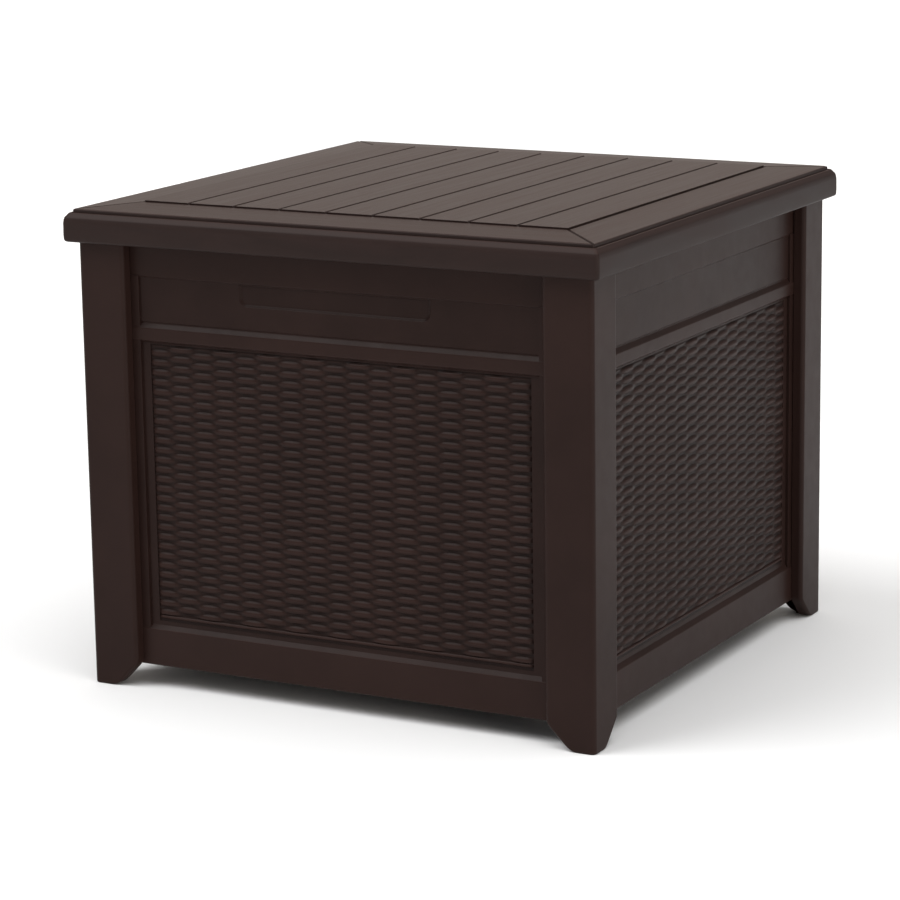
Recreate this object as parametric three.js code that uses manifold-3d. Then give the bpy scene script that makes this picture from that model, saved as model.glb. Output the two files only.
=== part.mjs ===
// Square storage coffee table in moulded resin: four wicker-look walls between corner posts,
// a floor, and a framed, slatted lid that turns up on two hinges at the back.
// Millimetres. Origin on the ground under the table's centre, +Z up, front towards -Y.
import * as THREE from 'three';
import { mergeVertices } from 'three/addons/utils/BufferGeometryUtils.js';
import Module from 'manifold-3d';

const wasm = await Module();
wasm.setup();

// Driving dimensions
const LID_HALF = 357.5;
const TABLE_HEIGHT = 598.5;
const RIM_BOTTOM = 553.5;
const BODY_TOP = 574.7;
const GAP = 0.3;

// Corner posts: a channel with both edges turned in, and a foot that narrows to the ground
const POST_FACE = 344;
const POST_EDGE = 280;
const POST_WALL = 3;
const POST_CORNER_RADIUS = 6;
const POST_EDGE_RADIUS = 2;
const FOOT_TAPER_HEIGHT = 30;
const FOOT_TAPER_INNER = 305;
const SOLE_THICKNESS = 4;
const BOSS_RADIUS = 5;

// Wall panels: a thin wall with a frame standing proud of the wicker field
const PANEL_INNER = 320;
const PANEL_WALL = 3;
const FIELD_FACE = PANEL_INNER + PANEL_WALL;
const FRAME_PROUD = 6;
const PANEL_FACE = FIELD_FACE + FRAME_PROUD;
const STRIP_PROUD = 4.5;
const PANEL_BOTTOM = 28;
const FIELD_BOTTOM = 86;
const FIELD_TOP = 432;
const STRIP_BOTTOM = 513;
const STRIP_TOP = 558;
const FIELD_HALF = 258;
const STILE_END = 290;
const FIELD_BEVEL = 4;

// Finger recess in the front panel's upper band
const RECESS_HALF = 128.5;
const RECESS_BOTTOM = 486;
const RECESS_TOP = 511;
const RECESS_RADIUS = 10;

// Floor panel: a plate with a turned-down edge that is screwed to the front and back panels
const FLOOR_BOTTOM = 42;
const FLOOR_THICKNESS = 3;
const FLOOR_HALF = PANEL_INNER - 0.5;
const FLOOR_EDGE_BOTTOM = 30;
const FLOOR_RIB_HEIGHT = 6;

// Lid: the slats stand proud of a frame that slopes down to the lid's own edge
const LID_CEILING = 593.5;
const LID_CEILING_HALF = 300;
const LID_EDGE_CEILING = 588;
const LID_INNER_HALF = 352.5;
const LID_CORNER_RADIUS = 5;
const LID_EDGE_HALF = 346.5;
const LID_EDGE_TOP = 593;
const SLAT_FIELD_HALF = 285;
const SLAT_RISE = 1.5;
const SLAT_COUNT = 9;
const GROOVE_HALF_WIDTH = 2.2;
const GROOVE_DEPTH = 1.4;

// Lid liner: a ribbed plate that closes the lid's underside and rests on the walls
const LINER_BOTTOM = BODY_TOP + GAP;
const LINER_THICKNESS = 2.5;
const LINER_HALF = 346.5;
const LINER_RIB_HALF_SPAN = 330;
const RIB_POSITIONS = [-280, -140, 0, 140, 280];
const RIB_THICKNESS = 2.5;

// Hinges
const HINGE_AXIS_Y = 350;
const HINGE_AXIS_Z = 547;
const HINGE_OFFSET_X = 200;
const HINGE_HALF_WIDTH = 30;
const KNUCKLE_HALF_WIDTH = 12;
const KNUCKLE_RADIUS = 5;
const PIN_RADIUS = 2.5;
const PIN_HEAD_RADIUS = 4;
const PIN_HEAD_THICKNESS = 1.5;
const BORE_RADIUS = 2.85;
const BRACKET_BOTTOM = 516;
const EAR_BOTTOM = 532;
const BRACKET_TOP = 551.5;
const LEAF_THICKNESS = 3;
const STOP_BACK = 355.4;

// Screws
const SCREW_RADIUS = 1.9;
const SCREW_HOLE_RADIUS = 2.3;
const SCREW_HEAD_RADIUS = 4.4;
const SCREW_HEAD_HEIGHT = 2.4;
const SCREW_TIP_LENGTH = 3;
const POST_SCREW_LENGTH = 16;
const FLOOR_SCREW_LENGTH = 10;
const LINER_SCREW_LENGTH = 10;
const BRACKET_SCREW_LENGTH = 11;
const LEAF_SCREW_LENGTH = 14;
const POST_SCREW_OFFSET = 308;
const POST_SCREW_HEIGHTS = [120, 480];
const FLOOR_SCREW_X = 200;
const FLOOR_SCREW_Z = 36;
const LINER_SCREW_OFFSET = 250;
const LEAF_SCREW_Y = 338;
const HINGE_SCREW_SPREAD = 20;
const BRACKET_SCREW_Z = 523;

const SIDES = 12;
const SCREW_SIDES = 8;
const QUARTER_TURN = Math.PI / 2;

const bodyResin = { color: 0x2b201e, roughness: 0.5, metalness: 0 };
const lidResin = { color: 0x40342f, roughness: 0.55, metalness: 0 };
const innerResin = { color: 0x241b19, roughness: 0.6, metalness: 0 };
const steel = { color: 0x9c9c9a, roughness: 0.35, metalness: 1 };

const table = new THREE.Group();

// A mesh in the group, named as a person would name the piece
function addPiece(name, solid, finish, parent = table) {
  const mesh = new THREE.Mesh(toGeometry(solid), new THREE.MeshStandardMaterial(finish));
  mesh.name = name;
  parent.add(mesh);
  return mesh;
}

// Between three.js geometry and solids that can be joined and cut
function toSolid(geometry) {
  geometry.deleteAttribute('normal');
  geometry.deleteAttribute('uv');
  const merged = mergeVertices(geometry, 1e-4);
  const vertProperties = Float32Array.from(merged.attributes.position.array);
  const triVerts = Uint32Array.from(merged.index.array);
  return new wasm.Manifold(new wasm.Mesh({ numProp: 3, vertProperties, triVerts }));
}

function toGeometry(solid) {
  const { vertProperties, triVerts } = solid.getMesh();
  const geometry = new THREE.BufferGeometry();
  geometry.setAttribute('position', new THREE.BufferAttribute(vertProperties, 3));
  geometry.setIndex(new THREE.BufferAttribute(triVerts, 1));
  geometry.computeVertexNormals();
  return geometry;
}

function join(solids) {
  return solids.reduce((whole, solid) => whole.add(solid));
}

function cut(solid, tools) {
  return tools.reduce((whole, tool) => whole.subtract(tool), solid);
}

// Basic solids, each given by its limits on the three axes
function block([x0, x1], [y0, y1], [z0, z1]) {
  const geometry = new THREE.BoxGeometry(x1 - x0, y1 - y0, z1 - z0);
  geometry.translate((x0 + x1) / 2, (y0 + y1) / 2, (z0 + z1) / 2);
  return toSolid(geometry);
}

function extrude(shape, depth, axes, offset) {
  const geometry = new THREE.ExtrudeGeometry(shape, { depth, bevelEnabled: false, curveSegments: 4 });
  geometry.applyMatrix4(new THREE.Matrix4().makeBasis(...axes));
  geometry.translate(...offset);
  return toSolid(geometry);
}

function outline(points) {
  return new THREE.Shape(points.map(([u, v]) => new THREE.Vector2(u, v)));
}

const X = new THREE.Vector3(1, 0, 0);
const Y = new THREE.Vector3(0, 1, 0);
const Z = new THREE.Vector3(0, 0, 1);
const down = new THREE.Vector3(0, 0, -1);

function prismAlongX(points, x0, x1) {
  return extrude(outline(points), x1 - x0, [Y, Z, X], [x0, 0, 0]);
}

function prismAlongY(points, y0, y1) {
  return extrude(outline(points), y1 - y0, [X, Z, Y.clone().negate()], [0, y1, 0]);
}

function prismAlongZ(shape, z0, z1) {
  return extrude(shape, z1 - z0, [X, Y, Z], [0, 0, z0]);
}

function rod(radius, from, to) {
  const start = new THREE.Vector3(...from);
  const end = new THREE.Vector3(...to);
  const direction = end.clone().sub(start);
  const geometry = new THREE.CylinderGeometry(radius, radius, direction.length(), SIDES);
  const turn = new THREE.Quaternion().setFromUnitVectors(Y, direction.clone().normalize());
  geometry.applyQuaternion(turn);
  geometry.translate(...start.add(end).multiplyScalar(0.5).toArray());
  return toSolid(geometry);
}

function screwHole(from, to) {
  return rod(SCREW_HOLE_RADIUS, from, to);
}

// A solid turned on a lathe about local Z, head up
function screwSolid(length) {
  const profile = [
    [0, -length],
    [SCREW_RADIUS, -length + SCREW_TIP_LENGTH],
    [SCREW_RADIUS, 0],
    [SCREW_HEAD_RADIUS, 0],
    [SCREW_HEAD_RADIUS, 0.6],
    [SCREW_HEAD_RADIUS * 0.75, SCREW_HEAD_HEIGHT * 0.8],
    [0, SCREW_HEAD_HEIGHT],
  ].map(([r, h]) => new THREE.Vector2(r, h));
  const geometry = new THREE.LatheGeometry(profile, SCREW_SIDES);
  geometry.rotateX(QUARTER_TURN);
  return toSolid(geometry);
}

function addScrew(name, length, position, headDirection, parent = table) {
  const mesh = addPiece(name, screwSolid(length), steel, parent);
  mesh.quaternion.setFromUnitVectors(Z, headDirection);
  mesh.position.set(...position);
}

// Corner post, drawn for the corner towards +X and +Y
function postSection() {
  const lip = PANEL_FACE + GAP;
  const inner = POST_FACE - POST_WALL;
  const round = POST_CORNER_RADIUS;
  const edge = POST_EDGE_RADIUS;
  const shape = new THREE.Shape();
  shape.moveTo(lip, POST_EDGE);
  shape.lineTo(POST_FACE - edge, POST_EDGE);
  shape.absarc(POST_FACE - edge, POST_EDGE + edge, edge, -QUARTER_TURN, 0);
  shape.absarc(POST_FACE - round, POST_FACE - round, round, 0, QUARTER_TURN);
  shape.absarc(POST_EDGE + edge, POST_FACE - edge, edge, QUARTER_TURN, 2 * QUARTER_TURN);
  shape.lineTo(POST_EDGE, lip);
  shape.lineTo(POST_EDGE + POST_WALL, lip);
  shape.lineTo(POST_EDGE + POST_WALL, inner);
  shape.lineTo(inner, inner);
  shape.lineTo(inner, POST_EDGE + POST_WALL);
  shape.lineTo(lip, POST_EDGE + POST_WALL);
  shape.closePath();
  return shape;
}

function soleSection() {
  const round = POST_CORNER_RADIUS;
  const shape = new THREE.Shape();
  shape.moveTo(FOOT_TAPER_INNER, FOOT_TAPER_INNER);
  shape.lineTo(POST_FACE, FOOT_TAPER_INNER);
  shape.absarc(POST_FACE - round, POST_FACE - round, round, 0, QUARTER_TURN);
  shape.lineTo(FOOT_TAPER_INNER, POST_FACE);
  shape.closePath();
  return shape;
}

function cornerPost() {
  const top = BODY_TOP - GAP;
  const inner = POST_FACE - POST_WALL;
  const bossEnd = FIELD_FACE + GAP;
  const solids = [prismAlongZ(postSection(), 0, top), prismAlongZ(soleSection(), 0, SOLE_THICKNESS)];
  const holes = [];
  for (const height of POST_SCREW_HEIGHTS) {
    const behindBackFace = (depth) => [POST_SCREW_OFFSET, depth, height];
    const behindSideFace = (depth) => [depth, POST_SCREW_OFFSET, height];
    for (const at of [behindBackFace, behindSideFace]) {
      solids.push(rod(BOSS_RADIUS, at(bossEnd), at(inner + 1)));
      holes.push(screwHole(at(bossEnd - 1), at(inner - 1)));
    }
  }
  const taper = [
    [POST_EDGE - 1, -1],
    [FOOT_TAPER_INNER, -1],
    [FOOT_TAPER_INNER, 1],
    [POST_EDGE, FOOT_TAPER_HEIGHT],
    [POST_EDGE - 1, FOOT_TAPER_HEIGHT],
  ];
  holes.push(prismAlongY(taper, POST_EDGE - 1, POST_FACE + 1));
  holes.push(prismAlongX(taper, POST_EDGE - 1, POST_FACE + 1));
  return cut(join(solids), holes);
}

function addPosts() {
  const names = ['back_right', 'back_left', 'front_left', 'front_right'];
  names.forEach((name, quarter) => {
    const mesh = addPiece(`post_${name}`, cornerPost(), bodyResin);
    mesh.rotation.z = quarter * QUARTER_TURN;
  });
}

// Wall panel, drawn facing -Y; the side view of its frame runs up from the bottom rail
function frameProfile() {
  const face = -PANEL_FACE;
  const base = -PANEL_INNER - 1;
  const strip = -FIELD_FACE - STRIP_PROUD;
  return [
    [base, PANEL_BOTTOM],
    [face + 2, PANEL_BOTTOM],
    [face, PANEL_BOTTOM + 2],
    [face, STRIP_BOTTOM],
    [strip, STRIP_BOTTOM + 2],
    [strip, STRIP_TOP],
    [base, STRIP_TOP + 4],
  ].reverse();
}

// The field is cut with sloping sides, wider at the frame's face
function fieldCut() {
  const points = [
    [FIELD_HALF, FIELD_BOTTOM],
    [FIELD_HALF, FIELD_TOP],
    [-FIELD_HALF, FIELD_TOP],
    [-FIELD_HALF, FIELD_BOTTOM],
  ];
  const shape = outline(points.reverse());
  const bevelled = new THREE.ExtrudeGeometry(shape, {
    depth: 2,
    bevelEnabled: true,
    bevelThickness: FRAME_PROUD,
    bevelSize: FIELD_BEVEL,
    bevelSegments: 1,
  });
  bevelled.applyMatrix4(new THREE.Matrix4().makeBasis(X, Z, Y.clone().negate()));
  bevelled.translate(0, -PANEL_FACE, 0);
  return toSolid(bevelled);
}

function recessCut() {
  const centreX = RECESS_HALF - RECESS_RADIUS;
  const centreZ = RECESS_BOTTOM + RECESS_RADIUS;
  const shape = new THREE.Shape();
  shape.moveTo(-RECESS_HALF, RECESS_TOP);
  shape.lineTo(-RECESS_HALF, centreZ);
  shape.absarc(-centreX, centreZ, RECESS_RADIUS, -2 * QUARTER_TURN, -QUARTER_TURN);
  shape.absarc(centreX, centreZ, RECESS_RADIUS, -QUARTER_TURN, 0);
  shape.lineTo(RECESS_HALF, RECESS_TOP);
  shape.closePath();
  return extrude(shape, FRAME_PROUD + 1, [X, Z, Y.clone().negate()], [0, -FIELD_FACE, 0]);
}

function wallPanel(halfLength, extraCuts = []) {
  const wall = block([-halfLength, halfLength], [-FIELD_FACE, -PANEL_INNER], [PANEL_BOTTOM, BODY_TOP]);
  const frame = prismAlongX(frameProfile(), -STILE_END, STILE_END);
  const cuts = [fieldCut()];
  for (const side of [-1, 1]) {
    for (const height of POST_SCREW_HEIGHTS) {
      const x = side * POST_SCREW_OFFSET;
      cuts.push(screwHole([x, -PANEL_INNER + 1, height], [x, -FIELD_FACE - 1, height]));
    }
  }
  return cut(wall.add(frame), [...cuts, ...extraCuts]);
}

function floorScrewHoles() {
  return [-1, 1].map((side) => {
    const x = side * FLOOR_SCREW_X;
    return screwHole([x, -FLOOR_HALF + 4, FLOOR_SCREW_Z], [x, -PANEL_FACE + 1.5, FLOOR_SCREW_Z]);
  });
}

function bracketScrewHoles() {
  return [-1, 1].flatMap((side) => [-1, 1].map((spread) => {
    const x = side * HINGE_OFFSET_X + spread * HINGE_SCREW_SPREAD;
    return screwHole([x, -PANEL_INNER + 1, BRACKET_SCREW_Z], [x, -PANEL_FACE - 1, BRACKET_SCREW_Z]);
  }));
}

function addPanels() {
  const longHalf = FIELD_FACE;
  const shortHalf = PANEL_INNER - 0.5;
  const panels = [
    ['front_panel', wallPanel(longHalf, [recessCut(), ...floorScrewHoles()])],
    ['right_panel', wallPanel(shortHalf)],
    ['back_panel', wallPanel(longHalf, [...bracketScrewHoles(), ...floorScrewHoles()])],
    ['left_panel', wallPanel(shortHalf)],
  ];
  panels.forEach(([name, solid], quarter) => {
    const side = new THREE.Group();
    side.rotation.z = quarter * QUARTER_TURN;
    table.add(side);
    addPiece(name, solid, bodyResin, side);
    addPostScrews(name, side);
  });
}

// Screws from inside the box, through the panel and into the posts' bosses
function addPostScrews(panelName, side) {
  let number = 1;
  for (const x of [-POST_SCREW_OFFSET, POST_SCREW_OFFSET]) {
    for (const height of POST_SCREW_HEIGHTS) {
      const position = [x, -PANEL_INNER + GAP, height];
      addScrew(`${panelName}_screw_${number}`, POST_SCREW_LENGTH, position, Y, side);
      number += 1;
    }
  }
}

function addFloor() {
  const span = [-FLOOR_HALF, FLOOR_HALF];
  const inner = FLOOR_HALF - FLOOR_THICKNESS;
  const innerSpan = [-inner, inner];
  const tray = block(span, span, [FLOOR_EDGE_BOTTOM, FLOOR_BOTTOM + FLOOR_THICKNESS]);
  const hollow = block(innerSpan, innerSpan, [FLOOR_EDGE_BOTTOM - 1, FLOOR_BOTTOM]);
  const solids = [tray.subtract(hollow)];
  const ribBottom = FLOOR_BOTTOM - FLOOR_RIB_HEIGHT;
  const ribReach = [-inner - 1, inner + 1];
  for (const position of RIB_POSITIONS) {
    const across = [position - RIB_THICKNESS / 2, position + RIB_THICKNESS / 2];
    solids.push(block(across, ribReach, [ribBottom, FLOOR_BOTTOM + 1]));
    solids.push(block(ribReach, across, [ribBottom + 0.5, FLOOR_BOTTOM + 1]));
  }
  const holes = [];
  let number = 1;
  for (const x of [-FLOOR_SCREW_X, FLOOR_SCREW_X]) {
    for (const side of [-1, 1]) {
      const at = (depth) => [x, side * depth, FLOOR_SCREW_Z];
      holes.push(screwHole(at(inner - 1), at(FLOOR_HALF + 1)));
      const headDirection = Y.clone().multiplyScalar(-side);
      addScrew(`floor_screw_${number}`, FLOOR_SCREW_LENGTH, at(inner - GAP), headDirection);
      number += 1;
    }
  }
  addPiece('floor_panel', cut(join(solids), holes), innerResin);
}

// Lid shell: square rings with rounded corners, from the underside out round the rim to the top
function ringPoints([half, z]) {
  const steps = 5;
  const radius = Math.max(2, LID_CORNER_RADIUS - (LID_HALF - half) * 0.3);
  const centre = half - radius;
  const signs = [[1, 1], [-1, 1], [-1, -1], [1, -1]];
  return signs.flatMap(([sx, sy], corner) => Array.from({ length: steps + 1 }, (_, step) => {
    const angle = (corner + step / steps) * QUARTER_TURN;
    return [sx * centre + radius * Math.cos(angle), sy * centre + radius * Math.sin(angle), z];
  }));
}

function loft(rings) {
  const rows = rings.map(ringPoints);
  const count = rows[0].length;
  const positions = rows.flat();
  const indices = [];
  for (let row = 0; row + 1 < rows.length; row += 1) {
    for (let i = 0; i < count; i += 1) {
      const next = (i + 1) % count;
      const low = row * count;
      const high = low + count;
      indices.push(low + i, low + next, high + next, low + i, high + next, high + i);
    }
  }
  const last = (rows.length - 1) * count;
  const startCentre = positions.push([0, 0, rings[0][1]]) - 1;
  const endCentre = positions.push([0, 0, rings[rings.length - 1][1]]) - 1;
  for (let i = 0; i < count; i += 1) {
    const next = (i + 1) % count;
    indices.push(startCentre, next, i, endCentre, last + i, last + next);
  }
  const geometry = new THREE.BufferGeometry();
  geometry.setAttribute('position', new THREE.Float32BufferAttribute(positions.flat(), 3));
  geometry.setIndex(indices);
  return toSolid(geometry);
}

function lidShell() {
  const edge = LID_EDGE_TOP;
  return loft([
    [LID_CEILING_HALF, LID_CEILING],
    [LID_INNER_HALF - 12.5, LID_EDGE_CEILING + 1.5],
    [LID_INNER_HALF - 4, LID_EDGE_CEILING - 3.5],
    [LID_INNER_HALF, LID_EDGE_CEILING - 12],
    [LID_INNER_HALF, RIM_BOTTOM],
    [LID_HALF - 3.5, RIM_BOTTOM],
    [LID_HALF - 0.8, RIM_BOTTOM + 4],
    [LID_HALF, RIM_BOTTOM + 11],
    [LID_HALF - 1.2, edge - 15.5],
    [LID_HALF - 3.2, edge - 9.5],
    [LID_HALF - 6.5, edge - 4],
    [LID_EDGE_HALF + 1.5, edge - 3.6],
    [LID_EDGE_HALF + 1, edge - 1],
    [LID_EDGE_HALF, edge],
    [SLAT_FIELD_HALF - 2, TABLE_HEIGHT - SLAT_RISE],
  ]);
}

// A V-shaped groove cut along a line on the lid's top
function topGroove(from, to) {
  const start = new THREE.Vector3(...from);
  const end = new THREE.Vector3(...to);
  const along = end.clone().sub(start);
  const length = along.length();
  along.normalize();
  const side = along.clone().cross(Z).normalize();
  const up = side.clone().cross(along);
  const over = 1;
  const halfWidth = GROOVE_HALF_WIDTH * (1 + over / GROOVE_DEPTH);
  const section = outline([[-halfWidth, over], [0, -GROOVE_DEPTH], [halfWidth, over]]);
  return extrude(section, length, [side, up, along.negate()], end.toArray());
}

function addLid() {
  const half = SLAT_FIELD_HALF;
  const slats = block([-half, half], [-half, half], [LID_CEILING + 1, TABLE_HEIGHT]);
  const cuts = [];
  const pitch = (2 * half) / SLAT_COUNT;
  for (let groove = 1; groove < SLAT_COUNT; groove += 1) {
    const x = -half + groove * pitch;
    cuts.push(topGroove([x, -half - 1, TABLE_HEIGHT], [x, half + 1, TABLE_HEIGHT]));
  }
  for (const sx of [-1, 1]) {
    for (const sy of [-1, 1]) {
      const inner = [sx * half, sy * half, TABLE_HEIGHT - SLAT_RISE];
      cuts.push(topGroove(inner, [sx * LID_EDGE_HALF, sy * LID_EDGE_HALF, LID_EDGE_TOP]));
    }
  }
  const solids = [cut(lidShell().add(slats), cuts)];
  const holes = [];
  const offsets = [-LINER_SCREW_OFFSET, LINER_SCREW_OFFSET];
  const bossBottom = LINER_BOTTOM + LINER_THICKNESS + GAP;
  offsets.forEach((x) => offsets.forEach((y) => {
    solids.push(rod(BOSS_RADIUS, [x, y, bossBottom], [x, y, LID_CEILING + 1]));
    holes.push(screwHole([x, y, bossBottom - 1], [x, y, LID_CEILING - 0.5]));
  }));
  addPiece('lid_top', cut(join(solids), holes), lidResin);
}

function addLidLiner() {
  const span = [-LINER_HALF, LINER_HALF];
  const ribSpan = [-LINER_RIB_HALF_SPAN, LINER_RIB_HALF_SPAN];
  const ribTop = LID_EDGE_CEILING - 1;
  const ribZ = [LINER_BOTTOM + 1, ribTop];
  const solids = [block(span, span, [LINER_BOTTOM, LINER_BOTTOM + LINER_THICKNESS])];
  for (const position of RIB_POSITIONS) {
    const across = [position - RIB_THICKNESS / 2, position + RIB_THICKNESS / 2];
    solids.push(block(across, ribSpan, ribZ), block(ribSpan, across, [ribZ[0], ribTop - 0.5]));
  }
  const holes = [];
  let number = 1;
  for (const x of [-LINER_SCREW_OFFSET, LINER_SCREW_OFFSET]) {
    for (const y of [-LINER_SCREW_OFFSET, LINER_SCREW_OFFSET]) {
      holes.push(screwHole([x, y, LINER_BOTTOM - 1], [x, y, LINER_BOTTOM + LINER_THICKNESS + 1]));
      addScrew(`liner_screw_${number}`, LINER_SCREW_LENGTH, [x, y, LINER_BOTTOM - GAP], down);
      number += 1;
    }
  }
  for (const hinge of [-HINGE_OFFSET_X, HINGE_OFFSET_X]) {
    for (const x of [hinge - HINGE_SCREW_SPREAD, hinge + HINGE_SCREW_SPREAD]) {
      solids.push(rod(BOSS_RADIUS, [x, LEAF_SCREW_Y, LINER_BOTTOM + 1], [x, LEAF_SCREW_Y, ribTop]));
      holes.push(screwHole([x, LEAF_SCREW_Y, LINER_BOTTOM - 1], [x, LEAF_SCREW_Y, ribTop + 1]));
    }
  }
  addPiece('lid_liner', cut(join(solids), holes), innerResin);
}

// One hinge: bracket on the back panel, leaf under the lid, pin through their knuckles
function rodOnAxis(radius, x0, x1) {
  return rod(radius, [x0, HINGE_AXIS_Y, HINGE_AXIS_Z], [x1, HINGE_AXIS_Y, HINGE_AXIS_Z]);
}

function hingeBore(x) {
  const reach = HINGE_HALF_WIDTH + 1;
  return rodOnAxis(BORE_RADIUS, x - reach, x + reach);
}

function hingeBracket(x) {
  const plateBack = FIELD_FACE + STRIP_PROUD + GAP;
  const plateFace = plateBack + LEAF_THICKNESS;
  const width = [x - HINGE_HALF_WIDTH, x + HINGE_HALF_WIDTH];
  const solids = [block(width, [plateBack, plateFace], [BRACKET_BOTTOM, BRACKET_TOP])];
  for (const side of [-1, 1]) {
    const ends = [x + side * KNUCKLE_HALF_WIDTH, x + side * HINGE_HALF_WIDTH].sort((a, b) => a - b);
    const ear = [
      [plateFace - 1, EAR_BOTTOM],
      [STOP_BACK, HINGE_AXIS_Z - 9],
      [STOP_BACK, HINGE_AXIS_Z - 2],
      [HINGE_AXIS_Y, HINGE_AXIS_Z],
      [HINGE_AXIS_Y, BRACKET_TOP],
      [plateFace - 1, BRACKET_TOP],
    ];
    solids.push(prismAlongX(ear, ...ends));
    solids.push(rodOnAxis(KNUCKLE_RADIUS, ...ends));
  }
  const holes = [-1, 1].map((side) => {
    const screwX = x + side * HINGE_SCREW_SPREAD;
    return screwHole([screwX, plateBack - 1, BRACKET_SCREW_Z], [screwX, STOP_BACK + 1, BRACKET_SCREW_Z]);
  });
  return cut(join(solids), [hingeBore(x), ...holes]);
}

function hingeLeaf(x) {
  const half = KNUCKLE_HALF_WIDTH - 0.4;
  const inner = HINGE_AXIS_Y - LEAF_THICKNESS;
  const top = LINER_BOTTOM - GAP;
  const neck = [x - half, x + half];
  const width = [x - HINGE_HALF_WIDTH, x + HINGE_HALF_WIDTH];
  const solids = [
    rodOnAxis(KNUCKLE_RADIUS, ...neck),
    block(neck, [inner, HINGE_AXIS_Y], [HINGE_AXIS_Z + 3.5, RIM_BOTTOM + 1]),
    block(width, [inner, HINGE_AXIS_Y], [RIM_BOTTOM, top]),
    block(width, [PANEL_FACE - 3, HINGE_AXIS_Y], [top - LEAF_THICKNESS, top]),
  ];
  const holes = [-1, 1].map((side) => {
    const screwX = x + side * HINGE_SCREW_SPREAD;
    return screwHole([screwX, LEAF_SCREW_Y, top - LEAF_THICKNESS - 1], [screwX, LEAF_SCREW_Y, top + 1]);
  });
  return cut(join(solids), [hingeBore(x), ...holes]);
}

function hingePin(x) {
  const end = HINGE_HALF_WIDTH + GAP;
  return join([
    rodOnAxis(PIN_RADIUS, x - end - PIN_HEAD_THICKNESS, x + end),
    rodOnAxis(PIN_HEAD_RADIUS, x + end, x + end + PIN_HEAD_THICKNESS),
  ]);
}

function addHinges() {
  const bracketFace = FIELD_FACE + STRIP_PROUD + LEAF_THICKNESS + 2 * GAP;
  const leafUnderside = LINER_BOTTOM - LEAF_THICKNESS - 2 * GAP;
  for (const [name, x] of [['left', -HINGE_OFFSET_X], ['right', HINGE_OFFSET_X]]) {
    addPiece(`hinge_bracket_${name}`, hingeBracket(x), bodyResin);
    addPiece(`hinge_leaf_${name}`, hingeLeaf(x), bodyResin);
    addPiece(`hinge_pin_${name}`, hingePin(x), steel);
    [-HINGE_SCREW_SPREAD, HINGE_SCREW_SPREAD].forEach((spread, index) => {
      const end = `${name}_${index + 1}`;
      const bracketPosition = [x + spread, bracketFace, BRACKET_SCREW_Z];
      const leafPosition = [x + spread, LEAF_SCREW_Y, leafUnderside];
      addScrew(`bracket_screw_${end}`, BRACKET_SCREW_LENGTH, bracketPosition, Y);
      addScrew(`leaf_screw_${end}`, LEAF_SCREW_LENGTH, leafPosition, down);
    });
  }
}

addPosts();
addPanels();
addFloor();
addLid();
addLidLiner();
addHinges();

export default table;
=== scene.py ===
"""Looks for the wicker-look storage coffee table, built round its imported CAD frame. Metres."""
import math

import bmesh
import bpy
from mathutils import Matrix, Vector


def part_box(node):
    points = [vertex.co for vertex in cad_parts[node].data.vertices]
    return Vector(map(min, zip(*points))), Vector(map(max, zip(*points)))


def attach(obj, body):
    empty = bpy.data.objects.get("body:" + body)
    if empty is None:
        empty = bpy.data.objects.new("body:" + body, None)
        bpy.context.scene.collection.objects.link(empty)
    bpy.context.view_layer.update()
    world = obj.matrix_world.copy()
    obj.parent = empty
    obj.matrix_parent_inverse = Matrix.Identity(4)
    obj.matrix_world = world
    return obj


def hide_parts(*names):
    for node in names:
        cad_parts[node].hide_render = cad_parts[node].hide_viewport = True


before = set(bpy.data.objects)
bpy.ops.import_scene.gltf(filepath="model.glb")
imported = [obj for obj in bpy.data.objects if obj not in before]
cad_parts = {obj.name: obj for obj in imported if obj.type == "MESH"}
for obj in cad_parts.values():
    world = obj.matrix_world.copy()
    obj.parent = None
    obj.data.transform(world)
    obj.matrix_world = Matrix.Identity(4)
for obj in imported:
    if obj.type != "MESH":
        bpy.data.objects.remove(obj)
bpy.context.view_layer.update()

MM = 0.001
GAP = 0.3 * MM

# Where the CAD pieces are
LID_LOW, LID_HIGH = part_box("lid_top")
POST_LOW, POST_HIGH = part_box("post_back_right")
FRONT_LOW, FRONT_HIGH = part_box("front_panel")
SIDE_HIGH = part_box("right_panel")[1]

# Lid
LID_HALF = LID_HIGH.x
LID_TOP = LID_HIGH.z
RIM_BOTTOM = LID_LOW.z
RIM_WALL = 5 * MM
LID_EDGE_DROP = 5.5 * MM
LID_CORNER_RADIUS = 5 * MM
LID_INNER_CORNER_RADIUS = 2.5 * MM
LID_CORNER_STEPS = 8
FIELD_HALF = 285 * MM
FIELD_RISE = 1.5 * MM
FIELD_THICKNESS = 4.5 * MM
SLATS = 9
GROOVE_WIDTH, GROOVE_DEPTH = 4.6 * MM, 2.6 * MM
MITRE_WIDTH, MITRE_DEPTH = 4.0 * MM, 2.4 * MM
MITRE_END = LID_HALF - 10.6 * MM

# Posts
POST_FACE = POST_HIGH.x
POST_EDGE = POST_LOW.x
POST_TOP = POST_HIGH.z
POST_WALL = 3 * MM
POST_ROUND = 6 * MM
POST_EDGE_ROUND = 5.5 * MM
FOOT_TAPER_HEIGHT = 31 * MM
FOOT_TAPER_WIDTH = 31 * MM
FOOT_ROUND = 7 * MM
SHOULDER_TOP = FOOT_TAPER_HEIGHT * 1.25
SHOULDER_ROUND = 3 * MM
SHOULDER_TRIM = 0.4 * MM
SOLE_ROUND = 2 * MM

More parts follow.
